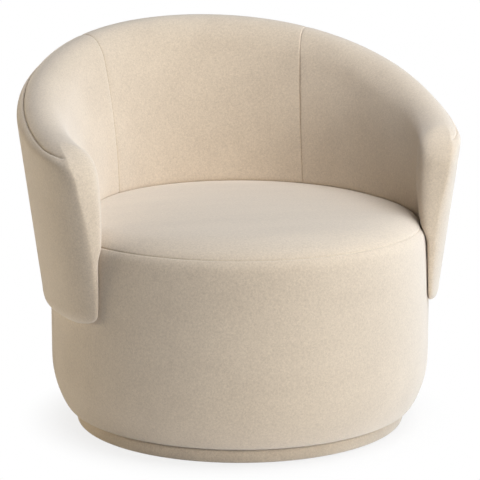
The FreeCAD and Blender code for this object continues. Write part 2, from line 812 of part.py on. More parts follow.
def back_fixings():
    bolts, nuts = [], []
    inner = drum_outside(shell_bolt_height + shell_bolt_head_radius) - drum_frame_out
    for angle in shell_bolt_angles:
        outer = shell_outside(shell_bolt_height, angle) - shell_board_out - shell_bolt_short
        shank = spoke(shell_bolt_radius - shell_bolt_clearance, angle, inner, outer, shell_bolt_height)
        head = spoke(shell_bolt_head_radius, angle, inner - shell_bolt_head, inner, shell_bolt_height)
        bolts.append(shank.fuse(head).removeSplitter())
        nuts.append(wall_disc(angle, tee_nut_radius, shell_pad_in, tee_nut_out))
    save(Part.makeCompound(bolts), "back_bolts")
    save(Part.makeCompound(nuts), "back_tee_nuts")


os.makedirs("parts", exist_ok=True)
plinth()
swivel()
drum_frame()
drum_covering()
seat_suspension()
seat_cushion()
wrap_around_back()
back_fixings()
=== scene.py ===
# %% [markdown]
# # An upholstered swivel tub chair
# The chair is one soft drum for a seat, wrapped by a single curved back that runs round into two arms.
# All of it is padding pulled tight under a short-napped beige cloth, and it turns on a low round plinth.
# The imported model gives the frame: boards, springs, swivel. This lesson dresses it, piece by piece.

# %% Load the frame
import math

import bpy
import numpy as np
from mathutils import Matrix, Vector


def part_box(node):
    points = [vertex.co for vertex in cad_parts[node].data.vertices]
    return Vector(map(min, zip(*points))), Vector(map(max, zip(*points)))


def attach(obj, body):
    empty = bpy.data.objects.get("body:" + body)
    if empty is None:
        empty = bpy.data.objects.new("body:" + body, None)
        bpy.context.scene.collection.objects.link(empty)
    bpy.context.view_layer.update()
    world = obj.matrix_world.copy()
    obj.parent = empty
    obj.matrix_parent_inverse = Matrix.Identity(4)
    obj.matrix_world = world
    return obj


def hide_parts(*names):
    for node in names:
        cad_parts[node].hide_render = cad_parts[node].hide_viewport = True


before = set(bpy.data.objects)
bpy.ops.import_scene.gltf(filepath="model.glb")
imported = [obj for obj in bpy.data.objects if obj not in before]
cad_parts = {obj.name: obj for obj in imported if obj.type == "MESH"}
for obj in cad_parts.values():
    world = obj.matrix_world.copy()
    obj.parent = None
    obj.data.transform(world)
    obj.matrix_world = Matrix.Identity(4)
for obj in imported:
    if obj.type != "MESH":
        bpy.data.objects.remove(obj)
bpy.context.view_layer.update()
scene = bpy.context.scene
MM = 0.001

# %% [markdown]
# ## Camera
# The chair was photographed from a little above the arms with a long lens, turned some sixteen degrees
# so that it faces to the right. A long lens far away keeps the drum's sides nearly parallel, so the camera
# goes four metres off and looks at the middle of the drum.

# %% Camera
CAMERA_TURN = math.radians(16.1)
CAMERA_RISE = math.radians(12.29)
CAMERA_AWAY = 4.0705
CAMERA_AIM = (0.0, 0.0, 0.335)
LENS_MM = 165.0
SENSOR_MM = 36.0
CAMERA_SEES = 50.0

level = CAMERA_AWAY * math.cos(CAMERA_RISE)
camera_data = bpy.data.cameras.new("camera")
camera_data.lens = LENS_MM
camera_data.sensor_width = SENSOR_MM
camera_data.clip_end = CAMERA_SEES
camera = bpy.data.objects.new("camera", camera_data)
camera.location = (
    CAMERA_AIM[0] - level * math.sin(CAMERA_TURN),
    CAMERA_AIM[1] - level * math.cos(CAMERA_TURN),
    CAMERA_AIM[2] + CAMERA_AWAY * math.sin(CAMERA_RISE),
)
camera.rotation_euler = (math.pi / 2 - CAMERA_RISE, 0.0, -CAMERA_TURN)
scene.collection.objects.link(camera)
scene.camera = camera
scene.view_settings.view_transform = "Standard"
print("camera at", [round(x, 3) for x in camera.location])

# %% [markdown]
# ## Light
# A studio set: one broad soft light from the right, a small one in front, a low one from the left and behind,
# and a soft top light. The gap between the front and the left one leaves a soft dark band on the drum. The
# world is white to the camera and nearly dark to everything else, so the lamps give the light.

# %% Lamps and world
WHITE = (1.0, 1.0, 1.0, 1.0)
WORLD_LIGHT = (0.012, 0.009, 0.006, 1.0)
CHAIR_MIDDLE = (0.0, 0.0, 0.38)
COOL_WHITE, PLAIN_WHITE, WARM_WHITE = (0.78, 0.91, 1.0), (0.97, 0.98, 1.0), (1.0, 0.87, 0.66)
# each lamp: its name, its place, width and height in metres, its watts and its colour
LAMPS = (
    ("key_right", (2.7, -0.8, 1.5), 4.4, 2.6, 31.0, COOL_WHITE),
    ("front_soft", (1.2, -3.4, 0.8), 1.8, 1.0, 54.0, PLAIN_WHITE),
    ("fill_left", (-2.6, 1.7, 0.40), 1.8, 0.6, 41.0, WARM_WHITE),
    ("top_soft", (1.0, -0.8, 3.1), 2.2, 2.2, 80.0, PLAIN_WHITE),
)


def area_light(name, place, width, height, watts, colour):
    data = bpy.data.lights.new(name, "AREA")
    data.shape = "RECTANGLE"
    data.size = width
    data.size_y = height
    data.energy = watts
    data.color = colour
    lamp = bpy.data.objects.new(name, data)
    lamp.location = place
    toward = np.array(CHAIR_MIDDLE) - np.array(place)
    flat = math.hypot(toward[0], toward[1])
    lamp.rotation_euler = (math.pi / 2 + math.atan2(toward[2], flat), 0.0, math.atan2(-toward[0], toward[1]))
    scene.collection.objects.link(lamp)


for lamp_row in LAMPS:
    area_light(*lamp_row)

world = bpy.data.worlds.new("studio")
world.use_nodes = True
scene.world = world


def camera_share(nodes, links):
    # 1 for rays that show a background: from the camera, mirrored, or through glass
    path = nodes.new("ShaderNodeLightPath")
    first = nodes.new("ShaderNodeMath")
    first.operation = "MAXIMUM"
    second = nodes.new("ShaderNodeMath")
    second.operation = "MAXIMUM"
    links.new(path.outputs["Is Camera Ray"], first.inputs[0])
    links.new(path.outputs["Is Glossy Ray"], first.inputs[1])
    links.new(first.outputs[0], second.inputs[0])
    links.new(path.outputs["Is Transmission Ray"], second.inputs[1])
    return second.outputs[0]


nodes, links = world.node_tree.nodes, world.node_tree.links
pick = nodes.new("ShaderNodeMix")
pick.data_type = "RGBA"
pick.inputs["A"].default_value = WORLD_LIGHT
pick.inputs["B"].default_value = WHITE
links.new(camera_share(nodes, links), pick.inputs["Factor"])
links.new(pick.outputs["Result"], nodes["Background"].inputs["Color"])

# %% [markdown]
# ## Floor
# The floor is a plain pale disc. To the camera it turns to pure white with distance, so it has no horizon,
# and near the chair it keeps enough of its own shading to show the soft shadow under the plinth.

# %% Floor
FLOOR_RADIUS = 12.0
FLOOR_SIDES = 96
FLOOR_GREY, FLOOR_ROUGHNESS = (0.88, 0.88, 0.88, 1.0), 0.9
GLOW_NEAR, GLOW_FAR = 0.80, 1.0
GLOW_START, GLOW_END = 0.29, 0.42


def floor_material():
    material = bpy.data.materials.new("pale_floor")
    material.use_nodes = True
    nodes, links = material.node_tree.nodes, material.node_tree.links
    surface = nodes["Principled BSDF"]
    surface.inputs["Base Color"].default_value = FLOOR_GREY
    surface.inputs["Roughness"].default_value = FLOOR_ROUGHNESS
    surface.inputs["Specular IOR Level"].default_value = 0.0
    glow = nodes.new("ShaderNodeEmission")
    glow.inputs["Color"].default_value = WHITE
    place = nodes.new("ShaderNodeTexCoord")
    away = nodes.new("ShaderNodeVectorMath")
    away.operation = "LENGTH"
    links.new(place.outputs["Object"], away.inputs[0])
    fade = nodes.new("ShaderNodeMapRange")
    fade.interpolation_type = "SMOOTHSTEP"
    fade.inputs["From Min"].default_value = GLOW_START
    fade.inputs["From Max"].default_value = GLOW_END
    fade.inputs["To Min"].default_value = GLOW_NEAR
    fade.inputs["To Max"].default_value = GLOW_FAR
    links.new(away.outputs["Value"], fade.inputs["Value"])
    share = nodes.new("ShaderNodeMath")
    share.operation = "MULTIPLY"
    links.new(camera_share(nodes, links), share.inputs[0])
    links.new(fade.outputs["Result"], share.inputs[1])
    mix = nodes.new("ShaderNodeMixShader")
    links.new(share.outputs[0], mix.inputs["Fac"])
    links.new(surface.outputs[0], mix.inputs[1])
    links.new(glow.outputs[0], mix.inputs[2])
    links.new(mix.outputs[0], nodes["Material Output"].inputs["Surface"])
    return material


floor_mesh = bpy.data.meshes.new("floor")
turns = [2 * math.pi * i / FLOOR_SIDES for i in range(FLOOR_SIDES)]
floor_mesh.from_pydata([(FLOOR_RADIUS * math.cos(t), FLOOR_RADIUS * math.sin(t), 0.0) for t in turns], [],
                       [tuple(range(FLOOR_SIDES))])
floor = bpy.data.objects.new("floor", floor_mesh)
floor.data.materials.append(floor_material())
scene.collection.objects.link(floor)
print("floor:", FLOOR_RADIUS * 2, "m across")

# %% [markdown]
# ## The cloth
# The cover is a heathered, short-napped cloth: close up, light and dark fibres mix at about a millimetre,
# and the nap lies in faint streaks. Noise at three scales mixes the fibre colours, the two finer ones give
# the bump, and sheen gives the soft bright veil that a nap shows where light catches its fibre ends.

# %% Material helpers
EVEN = (1.0, 1.0, 1.0)
NOISE_ROUGHNESS = 0.6


def node_with(nodes, kind, **inputs):
    node = nodes.new(kind)
    for name, value in inputs.items():
        node.inputs[name.replace("_", " ")].default_value = value
    return node


def new_material(name):
    material = bpy.data.materials.new(name)
    material.use_nodes = True
    nodes, links = material.node_tree.nodes, material.node_tree.links
    place = nodes.new("ShaderNodeTexCoord").outputs["Object"]
    return material, nodes, links, nodes["Principled BSDF"], place


def colour_ramp(nodes, links, value, stops):
    ramp = nodes.new("ShaderNodeValToRGB")
    for element, (position, colour) in zip(ramp.color_ramp.elements, stops):
        element.position = position
        element.color = tuple(colour) + (1.0,)
    links.new(value, ramp.inputs["Fac"])
    return ramp.outputs["Color"]


def blended(nodes, links, first, second, share):
    mix = nodes.new("ShaderNodeMix")
    mix.inputs["Factor"].default_value = share
    links.new(first, mix.inputs["A"])
    links.new(second, mix.inputs["B"])
    return mix.outputs["Result"]


def spread(nodes, links, value, low, high):
    result = node_with(nodes, "ShaderNodeMapRange", To_Min=low, To_Max=high)
    links.new(value, result.inputs["Value"])
    return result.outputs["Result"]


def bumped(nodes, links, height, surface, strength, distance):
    bump = node_with(nodes, "ShaderNodeBump", Strength=strength, Distance=distance)
    links.new(height, bump.inputs["Height"])
    links.new(bump.outputs["Normal"], surface.inputs["Normal"])


def noise(nodes, links, place, scale, detail, stretch=EVEN):
    turn = node_with(nodes, "ShaderNodeMapping", Scale=stretch)
    links.new(place, turn.inputs["Vector"])
    texture = node_with(nodes, "ShaderNodeTexNoise", Scale=scale, Detail=detail, Roughness=NOISE_ROUGHNESS)
    links.new(turn.outputs["Vector"], texture.inputs["Vector"])
    return texture.outputs["Fac"]


def finished(nodes, links, surface, tone, stops, rough, roughness, height, bump):
    # colour from the tone, roughness from rough between two limits, bump from height by strength and depth
    links.new(colour_ramp(nodes, links, tone, stops), surface.inputs["Base Color"])
    links.new(spread(nodes, links, rough, *roughness), surface.inputs["Roughness"])
    bumped(nodes, links, height, surface, *bump)


# %% The cloth
CLOTH_DEEP, CLOTH_PALE = (0.438, 0.318, 0.191), (0.662, 0.520, 0.352)
CLOTH_STOPS = ((0.34, CLOTH_DEEP), (0.62, CLOTH_PALE))
FIBRE_SCALE, FLECK_SCALE, NAP_SCALE = 520.0, 270.0, 9.0
FLECK_SHARE, NAP_SHARE = 0.5, 0.22
CLOTH_ROUGHNESS, CLOTH_BUMP = (0.82, 0.97), (0.22, 0.0012)
NAP_GLOSS = {"Specular IOR Level": 0.15, "Sheen Weight": 0.75, "Sheen Roughness": 0.9,
             "Sheen Tint": (1.0, 0.99, 0.98, 1.0)}
SEAT_STREAK = (0.28, 1.5, 1.0)


def cloth_material(name, streak=EVEN):
    material, nodes, links, surface, place = new_material(name)
    fibre = noise(nodes, links, place, FIBRE_SCALE, detail=3.0)
    fleck = noise(nodes, links, place, FLECK_SCALE, detail=2.0)
    nap = noise(nodes, links, place, NAP_SCALE, detail=3.0, stretch=streak)
    grain = blended(nodes, links, fibre, fleck, FLECK_SHARE)
    tone = blended(nodes, links, grain, nap, NAP_SHARE)
    finished(nodes, links, surface, tone, CLOTH_STOPS, grain, CLOTH_ROUGHNESS, grain, CLOTH_BUMP)
    for socket, value in NAP_GLOSS.items():
        surface.inputs[socket].default_value = value
    return material


cloth = cloth_material("beige_nap_cloth")
seat_cloth = cloth_material("beige_nap_cloth_seat", SEAT_STREAK)
plinth_cloth = cloth_material("beige_nap_cloth_plinth")
print("cloths:", cloth.name, seat_cloth.name, plinth_cloth.name)

# %% [markdown]
# ## Shapes from rows of points
# Every soft piece here is a closed grid: rows of points round the chair, joined by quads. Grids keep seams
# on grid lines, where they can be pinched, and they can be simulated as cloth.

# %% Mesh helpers
def mesh_object(name, points, faces, material):
    mesh = bpy.data.meshes.new(name)
    mesh.from_pydata([tuple(p) for p in points], [], faces)
    mesh.polygons.foreach_set("use_smooth", [True] * len(mesh.polygons))
    mesh.materials.append(material)
    made = bpy.data.objects.new(name, mesh)
    scene.collection.objects.link(made)
    return made


def point_array(mesh):
    flat = np.empty(len(mesh.vertices) * 3)
    mesh.vertices.foreach_get("co", flat)
    return flat.reshape(-1, 3)


def normal_array(mesh):
    flat = np.empty(len(mesh.vertices) * 3, np.float32)
    mesh.vertex_normals.foreach_get("vector", flat)
    return flat.reshape(-1, 3).astype(float)


def set_points(mesh, points):
    mesh.vertices.foreach_set("co", np.asarray(points, float).ravel())
    mesh.update()


def keep_values(mesh, name, values):
    layer = mesh.attributes.new(name, "FLOAT", "POINT")
    layer.data.foreach_set("value", np.asarray(values, float))


def kept_values(mesh, name):
    values = np.empty(len(mesh.vertices), np.float32)
    mesh.attributes[name].data.foreach_get("value", values)
    return values.astype(float)


def made_plain(made):
    # the object's mesh with its modifiers applied
    graph = bpy.context.evaluated_depsgraph_get()
    plain = bpy.data.meshes.new_from_object(made.evaluated_get(graph), preserve_all_data_layers=True,
                                            depsgraph=graph)
    made.modifiers.clear()
    made.data = plain


def subdivide(made):
    soften = made.modifiers.new("soften", "SUBSURF")
    soften.levels = 1
    soften.render_levels = 1
    made_plain(made)


def turned_ring(profile, sides):
    # a closed profile of radius and height, in millimetres, turned round the axis into a ring of quads
    turn = 2 * math.pi * np.arange(sides) / sides
    points = [(r * math.cos(t) * MM, r * math.sin(t) * MM, z * MM) for t in turn for r, z in profile]
    count = len(profile)
    faces = []
    for s in range(sides):
        here, there = s * count, (s + 1) % sides * count
        for p in range(count):
            q = (p + 1) % count
            faces.append((here + p, there + p, there + q, here + q))
    return points, faces


# %% [markdown]
# ## Puffing the padding
# Cloth over foam swells between the places where it is held. Each grid is simulated as cloth with a little
# air pressure and no gravity, pinned along its seams and hidden edges. The swelling is then capped and evened
# out, so the piece keeps its size and has no wrinkles, and added to the shape.

# %% Cloth simulation
FRAMES = 20
EVEN_ROUNDS = 30
TINY = 1e-9
PRESS_SETTINGS = {
    "quality": 4, "mass": 0.3, "tension_stiffness": 30.0, "compression_stiffness": 30.0,
    "shear_stiffness": 12.0, "bending_stiffness": 6.0, "use_pressure": True, "vertex_group_mass": "held",
    "pin_stiffness": 1.0,
}


def evened(mesh, move, fixed):
    # each point's move averaged with its neighbours' again and again, while fixed points stay
    ends = np.empty(len(mesh.edges) * 2, np.int32)
    mesh.edges.foreach_get("vertices", ends)
    first, second = ends.reshape(-1, 2).T
    uses = np.bincount(ends, minlength=len(move))[:, None]
    for _ in range(EVEN_ROUNDS):
        total = np.zeros_like(move)
        np.add.at(total, first, move[second])
        np.add.at(total, second, move[first])
        move = np.where(fixed[:, None], 0.0, (move + total / uses) / 2)
    return move


def puffed(made, held, pressure, cap):
    # moves the mesh's points as a pressed cloth would; held is 1 where a point may not move
    start = point_array(made.data)
    group = made.vertex_groups.new(name="held")
    firmness = np.round(held, 2)
    for weight in np.unique(firmness):
        group.add(np.flatnonzero(firmness == weight).tolist(), float(weight), "REPLACE")
    press = made.modifiers.new("press", "CLOTH")
    for setting, value in PRESS_SETTINGS.items():
        setattr(press.settings, setting, value)
    press.settings.uniform_pressure_force = pressure
    press.settings.effector_weights.gravity = 0.0
    press.collision_settings.use_collision = False
    press.point_cache.frame_start = 1
    press.point_cache.frame_end = FRAMES
    for number in range(1, FRAMES + 1):
        scene.frame_set(number)
    ready = made.evaluated_get(bpy.context.evaluated_depsgraph_get())
    end = point_array(ready.data)
    made.modifiers.clear()
    made.vertex_groups.clear()
    scene.frame_set(1)
    move = end - start
    length = np.linalg.norm(move, axis=1, keepdims=True)
    move *= cap * np.tanh(length / cap) / np.maximum(length, TINY)
    move = evened(made.data, move, held >= 1)
    set_points(made.data, start + move)
    print(made.name, "swelled by", round(float(length.max()) / MM, 1), "mm at most, on average",
          round(float(length[held < 1].mean()) / MM, 2), "mm; kept up to",
          round(float(np.linalg.norm(move, axis=1).max()) / MM, 1), "mm")


# %% [markdown]
# ## The seat drum
# Seat and drum are one upholstered body: a crowned round top sewn to a side that bellies out and draws in
# at the foot. The seam runs along the rounded edge. The top is a square grid bent to a circle, so there is
# no pinched pole in its middle, and rings of points carry on over the edge and down the side, under the foot
# and up the inside.

# %% Seat drum sizes
DRUM_R, FOOT_R, LIP_R = 350.0, 320.0, 306.0
FOOT_Z, BELLY_Z, WALL_Z = 29.0, 129.0, 200.0
EDGE_Z, EDGE_DRAW = 340.8, 5.0
CROWN_Z, CROWN_DROP, CROWN_R = 404.0, 9.0, 285.0
ROUND_R, ROUND_Z, ROUND_POWER = 60.0, 50.0, 2.3
SEAM_R = 335.5
FOAM_IN, WELL_R, WELL_Z, SIDE_TOP_Z = 14.5, 322.0, 280.4, 330.0
CORE_CELLS = 56
CORE_R = 262.0
# rings of points: spans with their counts, radii crowding to the seam, and how far the foot draws in
TOP_SPAN, TOP_RINGS = (CORE_R + 5, 318.0), 12
SEAM_RINGS = (322.0, 325.5, 328.5, 331.0, 333.0, 334.3, 335.1, SEAM_R, 335.9, 336.6, 337.7, 339.2, 341.0,
              342.8, 344.2)
SIDE_SPAN, SIDE_RINGS = (EDGE_Z - 2, 48.0), 34
FOOT_DRAWS = ((41.0, 0.0), (36.0, 0.4), (32.5, 1.5), (30.2, 4.0), (FOOT_Z, 8.0))
LIP_Z = FOOT_Z + 2
INNER_SPAN, INNER_RINGS = (34.0, SIDE_TOP_Z), 12


def drum_radius(z):
    # the side: belly at the foot, straight wall, slight draw to the rounded edge
    if z < BELLY_Z:
        belly = ((BELLY_Z - FOOT_Z) ** 2 + (DRUM_R - FOOT_R) ** 2) / (2 * (DRUM_R - FOOT_R))
        return DRUM_R - belly + math.sqrt(belly ** 2 - (BELLY_Z - z) ** 2)
    return DRUM_R - EDGE_DRAW * (max(0.0, z - WALL_Z) / (EDGE_Z - WALL_Z)) ** 2


def seat_height(r):
    # the top: a low crown that rounds off to the side
    past = min(1.0, max(0.0, (r - CROWN_R) / ROUND_R))
    edge = (1 - past ** ROUND_POWER) ** (1 / ROUND_POWER)
    return CROWN_Z - CROWN_DROP * (r / CROWN_R) ** 2 - ROUND_Z * (1 - edge)


SEAM_Z = seat_height(SEAM_R)
print("seat seam at radius", SEAM_R, "height", round(SEAM_Z, 1))


# %% Seat drum grid
def square_disc(cells):
    # a square grid of points bent to a unit disc, its faces, and the order of its rim points
    steps = np.linspace(-1.0, 1.0, cells + 1)
    u, v = np.meshgrid(steps, steps, indexing="ij")
    points = np.stack([u * np.sqrt(1 - v ** 2 / 2), v * np.sqrt(1 - u ** 2 / 2)], -1).reshape(-1, 2)
    number = np.arange((cells + 1) ** 2).reshape(cells + 1, cells + 1)
    faces = [(number[i, j], number[i + 1, j], number[i + 1, j + 1], number[i, j + 1])
             for i in range(cells) for j in range(cells)]
    rim = list(number[:-1, 0]) + list(number[-1, :-1]) + list(number[:0:-1, -1]) + list(number[0, :0:-1])
    return points, faces, rim


def round_pad(cells, core_r, top_height, rows, under_r, under_z):
    # a closed round body: a top disc, rings of (radius, height), and a flat underside disc
    disc, disc_faces, rim = square_disc(cells)
    points = [(x, y, top_height(math.hypot(x, y))) for x, y in disc * core_r]
    faces, ring, count = list(disc_faces), list(rim), len(rim)
    for r, z in rows:
        following = list(range(len(points), len(points) + count))
        points += [(x * r, y * r, z) for x, y in disc[rim]]
        for i in range(count):
            j = (i + 1) % count
            faces.append((ring[j], ring[i], following[i], following[j]))
        ring = following
    number = dict(zip(rim, ring))
    for i, (x, y) in enumerate(disc):
        if i not in number:
            number[i] = len(points)
            points.append((x * under_r, y * under_r, under_z))
    faces += [tuple(number[k] for k in face[::-1]) for face in disc_faces]
    return np.array(points) * MM, [tuple(int(k) for k in face) for face in faces]


def seat_drum_rows():
    rows = [(r, seat_height(r)) for r in (*np.linspace(*TOP_SPAN, TOP_RINGS), *SEAM_RINGS)]
    rows += [(drum_radius(z), z) for z in np.linspace(*SIDE_SPAN, SIDE_RINGS)]
    rows += [(drum_radius(z) - draw, z) for z, draw in FOOT_DRAWS]
    rows += [(LIP_R, FOOT_Z), (LIP_R, LIP_Z)]
    rows += [(drum_radius(z) - FOAM_IN, z) for z in np.linspace(*INNER_SPAN, INNER_RINGS)]
    rows += [(WELL_R, SIDE_TOP_Z), (WELL_R, WELL_Z)]
    return rows


# %% Seat drum piece
# held: the rim that the back covers, the foot, the seam and the inner side
SEAT_HIDDEN_R, SEAT_HIDDEN_EASE = 258.0, 20.0
SEAT_HIDDEN_ANGLE, SEAT_ANGLE_EASE = 116.0, 8.0
FOOT_HELD_Z, FOOT_HELD_EASE = 75.0, 30.0
SEAM_NEAR, WALL_DEPTH = 0.01, 10.0
SEAT_PRESSURE, SEAT_CAP = 3.0, 0.005
points, faces = round_pad(CORE_CELLS, CORE_R, seat_height, seat_drum_rows(), WELL_R, WELL_Z)
across, height = np.hypot(points[:, 0], points[:, 1]) / MM, points[:, 2] / MM
around = np.degrees(np.arctan2(np.abs(points[:, 0]), points[:, 1]))
held = np.clip((across - SEAT_HIDDEN_R) / SEAT_HIDDEN_EASE, 0, 1)
held *= np.clip((SEAT_HIDDEN_ANGLE - around) / SEAT_ANGLE_EASE, 0, 1)
held *= height > WALL_Z
held = np.maximum(held, np.clip((FOOT_HELD_Z - height) / FOOT_HELD_EASE, 0, 1))
held[np.hypot(across - SEAM_R, height - SEAM_Z) < SEAM_NEAR] = 1.0
shown_r = np.array([drum_radius(min(z, EDGE_Z)) for z in height])
inner_side = (across < shown_r - WALL_DEPTH) & (height < SIDE_TOP_Z + 1)
held[inner_side] = 1.0
seat = mesh_object("seat_upholstery", points, faces, seat_cloth)
print("seat drum:", len(points), "points")
puffed(seat, held, SEAT_PRESSURE, SEAT_CAP)
subdivide(seat)


# %% [markdown]
# The seam is a fine sewn line: the cloth dips to it on both sides. The dip comes after the swelling, as a
# push inwards that dies off within a few millimetres.

# %% Seat seam
SEAT_SEAM = ((0.0016, 0.0016), (0.008, 0.0012))


def dips(distance, seam):
    # a seam is a fine crease and a broad soft dip, each given by its width and its depth in metres
    return sum(-depth * np.exp(-(distance / width) ** 2) for width, depth in seam)


points, normals = point_array(seat.data), normal_array(seat.data)
gap = np.hypot(np.hypot(points[:, 0], points[:, 1]) - SEAM_R * MM, points[:, 2] - SEAM_Z * MM)
push = dips(gap, SEAT_SEAM)
set_points(seat.data, points + normals * push[:, None])
print("seat seam: dips", round(float(-push.min()) / MM, 1), "mm")

# %% [markdown]
# ## The wrap-around back
# The back is one long cushion, bent round the seat: its outside leans out like a cone, its top rolls over,
# and its inside slopes down to the seat. Every upright cut through it has the same parts, so it is drawn as
# a cut that changes as it goes round, from high and deep at the back to low and slim at the arms.

# %% Back cushion: the upright cut
BACK_Z, SIDE_Z, ARM_Z, RIM_FULL = 712.6, 587.0, 555.0, 27.0
SHELL_R, SHELL_Z, FLARE, SPREAD = 349.4, 150.0, 0.131, 5.0
SHELL_FOOT_Z, EDGE_H, EDGE_LAND = 229.0, 30.0, 3.4
ROLL_H, ROLL_W = (50.0, 29.0), (96.0, 77.0)
INSIDE_R, BULGE, SEAT_GAP, TUCK = (266.0, 332.0), 0.03, -1.0, 6.0
TUCK_CURVE = ((0.8, 0.0), (0.5, 0.08), (0.25, 0.25), (0.08, 0.55))
ROLL_EASE, INSIDE_EASE = 2, 4
ROLL_TOP_POWER, ROLL_OUT_POWER, EDGE_POWER, EDGE_DROP_POWER = 1.25, 1.4, 2.2, 1.25
PATH_POINTS, PATH_INSET = 40, 0.3
ARM_END, ARM_TURN, ARM_LEAN = 109.0, 15.2, 4.5
TURN_START, TURN_EASE = 66.0, 1.5
JOIN = math.radians(45.0)
COUNTS = {"drum_wall": 16, "tuck": 4, "inside": 28, "roll_in": 10, "roll_top": 12, "roll_out": 10,
          "outside": 42, "edge": 6}
UPPER_OUTSIDE = 28
STARTS = dict(zip(COUNTS, np.cumsum([0] + list(COUNTS.values())[:-1])))
CUT_POINTS = sum(COUNTS.values()) + 1
RIM_ROW = STARTS["roll_out"]


def arm_share(angle):
    return (1 - math.cos(math.radians(angle))) / (1 - math.cos(math.radians(ARM_END)))


def between(pair, angle, power):
    return pair[0] + (pair[1] - pair[0]) * arm_share(angle) ** power


def rim_height(angle):
    c, front = math.cos(math.radians(angle)), math.cos(math.radians(ARM_END))
    rise, fall = BACK_Z - SIDE_Z, ARM_Z - SIDE_Z
    bend = (fall - rise * front) / (front * (front - 1))
    return SIDE_Z + (rise - bend) * c + bend * c * c + RIM_FULL * c * (1 - c) * (c - front)


def along_arc(centre, radius, start, end, shares):
    turn = start + (end - start) * shares
    return np.stack([centre[0] + radius * np.cos(turn), centre[1] + radius * np.sin(turn)], 1)


def roll_arcs(height, width, lean_out, lean_in):
    # radii of the three tangent arcs of a roll that is so high and so wide, and its middle's inset
    cap = 1 - math.sin(JOIN)
    out_share, in_share = math.sin(JOIN) + math.sin(lean_out), math.sin(JOIN) - math.sin(lean_in)
    out_reach, in_reach = math.cos(lean_out) - math.cos(JOIN), math.cos(lean_in) - math.cos(JOIN)
    side = out_reach / out_share + in_reach / in_share
    top = (width - height * side) / (2 * math.cos(JOIN) - cap * side)
    out, inner = (height - cap * top) / out_share, (height - cap * top) / in_share
    return top, out, inner, top * math.cos(JOIN) + out * out_reach


def steps(part, power=1.0):
    return (np.arange(COUNTS[part]) / COUNTS[part]) ** power


def drum_side_path(end_r):
    # up the drum's side from the shell's foot, over the seat's rounding, to a radius on the seat
    side = [(drum_radius(z), z) for z in np.linspace(SHELL_FOOT_Z, EDGE_Z, PATH_POINTS)]
    top_r = np.linspace(CROWN_R + ROUND_R - PATH_INSET, end_r, PATH_POINTS)
    path = np.array(side + [(r, seat_height(r) + SEAT_GAP) for r in top_r])
    away = np.concatenate([[0], np.cumsum(np.linalg.norm(np.diff(path, axis=0), axis=1))])
    spots = np.linspace(0, away[-1], COUNTS["drum_wall"] + 1)[:-1]
    return np.stack([np.interp(spots, away, path[:, 0]), np.interp(spots, away, path[:, 1])], 1)


def back_cut(angle):
    # points of one cut, as radius and height, from the inner foot over the roll to the outer foot
    height, width = between(ROLL_H, angle, ROLL_EASE), between(ROLL_W, angle, ROLL_EASE)
    top = rim_height(angle)
    spring, spread_out = top - height, between((0.0, SPREAD), angle, ROLL_EASE)
    seat_r = between(INSIDE_R, angle, INSIDE_EASE)
    under = seat_height(seat_r) + SEAT_GAP
    out_r = SHELL_R + FLARE * (spring - SHELL_Z) + spread_out
    run, reach = spring - under, out_r - width - seat_r
    chord = math.atan(reach / run)
    lean_out, lean_in = math.atan(FLARE), chord + 4 * BULGE
    top_arc, out_arc, in_arc, inset = roll_arcs(height, width, lean_out, lean_in)
    corner = np.array([math.cos(JOIN), math.sin(JOIN)])
    top_centre = np.array([out_r - inset, top - top_arc])
    out_centre = top_centre + (top_arc - out_arc) * corner
    in_centre = top_centre + (top_arc - in_arc) * corner * (-1, 1)

    def inner_wall(share):
        bulge = 4 * BULGE * share * (1 - share) * run / math.cos(chord)
        return np.stack([seat_r + share * reach - bulge * math.cos(chord),
                         under + share * run + bulge * math.sin(chord)], 1)

    low = TUCK / run
    foot_r = inner_wall(np.array([low]))[0, 0]
    wall = drum_side_path(foot_r + TUCK)
    tuck = np.array([(foot_r + share * TUCK, seat_height(foot_r + share * TUCK) + SEAT_GAP + rise * TUCK)
                     for share, rise in TUCK_CURVE])
    inside = inner_wall(low + (1 - low) * steps("inside"))
    roll_in = along_arc(in_centre, in_arc, math.pi - lean_in, math.pi - JOIN, steps("roll_in"))
    over_top = 1 - (1 - steps("roll_top")) ** ROLL_TOP_POWER
    roll_top = along_arc(top_centre, top_arc, math.pi - JOIN, JOIN, over_top)
    roll_out = along_arc(out_centre, out_arc, JOIN, -lean_out, steps("roll_out", ROLL_OUT_POWER))
    edge_top = SHELL_FOOT_Z + EDGE_H
    upper = np.linspace(spring, under, UPPER_OUTSIDE, endpoint=False)
    lower = np.linspace(under, edge_top, COUNTS["outside"] - UPPER_OUTSIDE, endpoint=False)
    z = np.concatenate([upper, lower])
    outside = np.stack([SHELL_R + FLARE * (z - SHELL_Z) + spread_out, z], 1)
    curve = np.append(steps("edge"), 1.0)
    land = wall[0, 0] + EDGE_LAND
    edge_r = SHELL_R + FLARE * (edge_top - SHELL_Z) + spread_out
    edge = np.stack([land + (edge_r - land) * np.sqrt(np.clip(1 - curve ** EDGE_POWER, 0, 1)),
                     edge_top - EDGE_H * curve ** EDGE_DROP_POWER], 1)
    return np.concatenate([wall, tuck, inside, roll_in, roll_top, roll_out, outside, edge])


CUT_STEP = 0.25
cut_angles = np.arange(0.0, ARM_END + CUT_STEP / 2, CUT_STEP)
cuts = np.stack([back_cut(a) for a in cut_angles])
print("back cuts:", cuts.shape, "rim seam at row", RIM_ROW)


def cut_at(angles):
    # one point for each row, taken from the cut at that row's own angle
    spot = np.clip(angles, 0, ARM_END) / CUT_STEP
    first = np.minimum(spot.astype(int), len(cuts) - 2)
    share = (spot - first)[:, None]
    row = np.arange(CUT_POINTS)
    return cuts[first, row] * (1 - share) + cuts[first + 1, row] * share


